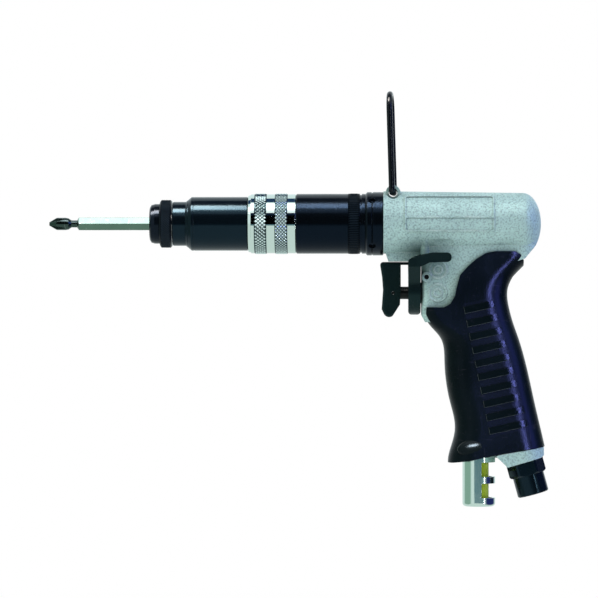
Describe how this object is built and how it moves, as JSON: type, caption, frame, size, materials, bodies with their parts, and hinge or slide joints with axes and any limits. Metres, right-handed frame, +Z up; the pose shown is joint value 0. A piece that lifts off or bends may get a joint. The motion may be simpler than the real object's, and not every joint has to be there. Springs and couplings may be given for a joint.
{
  "type": "pneumatic torque screwdriver",
  "caption": "Air-driven pistol-grip torque screwdriver with hexagon bit, knurled torque cover ring, trigger, reverse lever, hanger bail and rubber grip.",
  "frame": {"origin": "centre of the bit socket's mouth, on the spindle axis, at the front face of the bit sleeve", "axes": "-X out along the bit, +X to the rear of the housing, +Z up to the hanger bail, -Y the tool's left side"},
  "size_m": [0.2537, 0.0372, 0.2106],
  "materials": {
    "black_finish": "glossy black oxide",
    "cast_aluminium": "bead-blasted casting",
    "chrome_ring": "bright, knurled in two bands",
    "bit_steel": "ground, with a dark hardened head",
    "hardened_steel": "machined",
    "bearing_steel": "polished",
    "spring_steel": "drawn wire",
    "motor_iron": "ground",
    "vane_resin": "phenolic sheet",
    "grip_rubber": "satin moulded",
    "black_plastic": "satin moulded",
    "bail_wire": "gloss black",
    "valve_brass": "machined",
    "valve_rubber": "moulded",
    "silencer_plating": "bright nickel",
    "silencer_felt": "yellow-green felt",
    "strainer_steel": "woven gauze"
  },
  "bodies": {
    "pistol": {"housing": "cast_aluminium", "grip_sleeve": "grip_rubber", "clamp_ring": "black_finish", "gear_case": "black_finish", "clutch_case": "black_finish", "nose_bushing": "black_finish", "ring_gear": "hardened_steel", "spindle_bearing_outer": "bearing_steel", "output_bearing_outer": "bearing_steel", "front_end_plate": "motor_iron", "motor_cylinder": "motor_iron", "rear_end_plate": "motor_iron", "rotor_front_bearing_outer": "bearing_steel", "rotor_rear_bearing_outer": "bearing_steel", "inlet_bushing": "black_finish", "inlet_strainer": "strainer_steel", "exhaust_silencer": "silencer_plating", "silencer_felt": "silencer_felt", "valve_bushing": "valve_brass", "valve_seals": "valve_rubber", "lever_retaining_pin": "hardened_steel", "throttle_spring": "spring_steel"},
    "spindle": {"spindle": "hardened_steel", "screwdriver_bit": "bit_steel", "bit_lock_balls": "bearing_steel", "sleeve_stop_ring": "hardened_steel", "sleeve_spring": "spring_steel", "spindle_bearing_balls": "bearing_steel", "spindle_bearing_inner": "bearing_steel", "clutch_balls": "bearing_steel", "clutch_spring": "spring_steel", "output_carrier": "hardened_steel", "output_planet_pins": "hardened_steel", "output_bearing_balls": "bearing_steel", "output_bearing_inner": "bearing_steel"},
    "bit_sleeve": {"bit_sleeve": "black_finish"},
    "clutch_disc": {"clutch_disc": "hardened_steel"},
    "adjusting_nut": {"adjusting_nut": "hardened_steel"},
    "first_stage": {"first_stage_carrier": "hardened_steel", "first_planet_pins": "hardened_steel"},
    "rotor": {"rotor": "hardened_steel", "rotor_vanes": "vane_resin", "rotor_front_bearing_balls": "bearing_steel", "rotor_front_bearing_inner": "bearing_steel", "rotor_rear_bearing_balls": "bearing_steel", "rotor_rear_bearing_inner": "bearing_steel"},
    "cover_ring": {"cover_ring": "chrome_ring"},
    "trigger": {"trigger": "black_plastic", "throttle_stem": "hardened_steel", "trigger_pin": "hardened_steel", "throttle_valve": "valve_rubber"},
    "reverse_lever": {"reverse_lever": "black_plastic", "reverse_valve": "valve_brass"},
    "hanger": {"hanger": "bail_wire"},
    "first_planet_a": {"first_planet_a": "hardened_steel"},
    "output_planet_a": {"output_planet_a": "hardened_steel"},
    "first_planet_b": {"first_planet_b": "hardened_steel"},
    "output_planet_b": {"output_planet_b": "hardened_steel"},
    "first_planet_c": {"first_planet_c": "hardened_steel"},
    "output_planet_c": {"output_planet_c": "hardened_steel"}
  },
  "joints": [
    {"name": "rotor_spin", "type": "hinge", "parent": "pistol", "child": "rotor", "pos_m": [0.14, 0, 0], "axis": [1, 0, 0], "continuous": true},
    {"name": "first_stage_spin", "type": "hinge", "parent": "pistol", "child": "first_stage", "pos_m": [0.1, 0, 0], "axis": [1, 0, 0], "continuous": true},
    {"name": "spindle_spin", "type": "hinge", "parent": "pistol", "child": "spindle", "pos_m": [0, 0, 0], "axis": [1, 0, 0], "continuous": true},
    {"name": "first_planet_a_spin", "type": "hinge", "parent": "first_stage", "child": "first_planet_a", "pos_m": [0.104, 0.0072, 0], "axis": [1, 0, 0], "continuous": true},
    {"name": "output_planet_a_spin", "type": "hinge", "parent": "spindle", "child": "output_planet_a", "pos_m": [0.094, 0.0072, 0], "axis": [1, 0, 0], "continuous": true},
    {"name": "first_planet_b_spin", "type": "hinge", "parent": "first_stage", "child": "first_planet_b", "pos_m": [0.104, -0.0036, 0.00624], "axis": [1, 0, 0], "continuous": true},
    {"name": "output_planet_b_spin", "type": "hinge", "parent": "spindle", "child": "output_planet_b", "pos_m": [0.094, -0.0036, 0.00624], "axis": [1, 0, 0], "continuous": true},
    {"name": "first_planet_c_spin", "type": "hinge", "parent": "first_stage", "child": "first_planet_c", "pos_m": [0.104, -0.0036, -0.00624], "axis": [1, 0, 0], "continuous": true},
    {"name": "output_planet_c_spin", "type": "hinge", "parent": "spindle", "child": "output_planet_c", "pos_m": [0.094, -0.0036, -0.00624], "axis": [1, 0, 0], "continuous": true},
    {"name": "sleeve_slide", "type": "slide", "parent": "spindle", "child": "bit_sleeve", "axis": [-1, 0, 0], "range_m": [0, 0.0025], "stiffness_N_per_m": 800, "deforming": ["sleeve_spring"]},
    {"name": "clutch_release", "type": "slide", "parent": "spindle", "child": "clutch_disc", "axis": [1, 0, 0], "range_m": [0, 0.0012], "stiffness_N_per_m": 1500, "deforming": ["clutch_spring"]},
    {"name": "torque_adjust", "type": "slide", "parent": "spindle", "child": "adjusting_nut", "axis": [-1, 0, 0], "range_m": [0, 0.003], "deforming": ["clutch_spring"]},
    {"name": "cover_turn", "type": "hinge", "parent": "pistol", "child": "cover_ring", "pos_m": [0.062, 0, 0], "axis": [1, 0, 0], "range_deg": [0, 90]},
    {"name": "trigger_pull", "type": "slide", "parent": "pistol", "child": "trigger", "axis": [1, 0, 0], "range_m": [0, 0.0032], "stiffness_N_per_m": 500, "deforming": ["throttle_spring"]},
    {"name": "reverse_swing", "type": "hinge", "parent": "pistol", "child": "reverse_lever", "pos_m": [0.134, 0, -0.0351], "axis": [1, 0, 0], "range_deg": [-10, 10]},
    {"name": "hanger_swing", "type": "hinge", "parent": "pistol", "child": "hanger", "pos_m": [0.12345, 0, 0.0157], "axis": [0, 1, 0], "range_deg": [-75, 75]}
  ],
  "couplings": [
    {"joint": "first_stage_spin", "follows": "rotor_spin", "ratio": 0.25},
    {"joint": "spindle_spin", "follows": "rotor_spin", "ratio": 0.0625},
    {"joint": "first_planet_a_spin", "follows": "rotor_spin", "ratio": -0.75},
    {"joint": "output_planet_a_spin", "follows": "rotor_spin", "ratio": -0.1875},
    {"joint": "first_planet_b_spin", "follows": "rotor_spin", "ratio": -0.75},
    {"joint": "output_planet_b_spin", "follows": "rotor_spin", "ratio": -0.1875},
    {"joint": "first_planet_c_spin", "follows": "rotor_spin", "ratio": -0.75},
    {"joint": "output_planet_c_spin", "follows": "rotor_spin", "ratio": -0.1875}
  ]
}
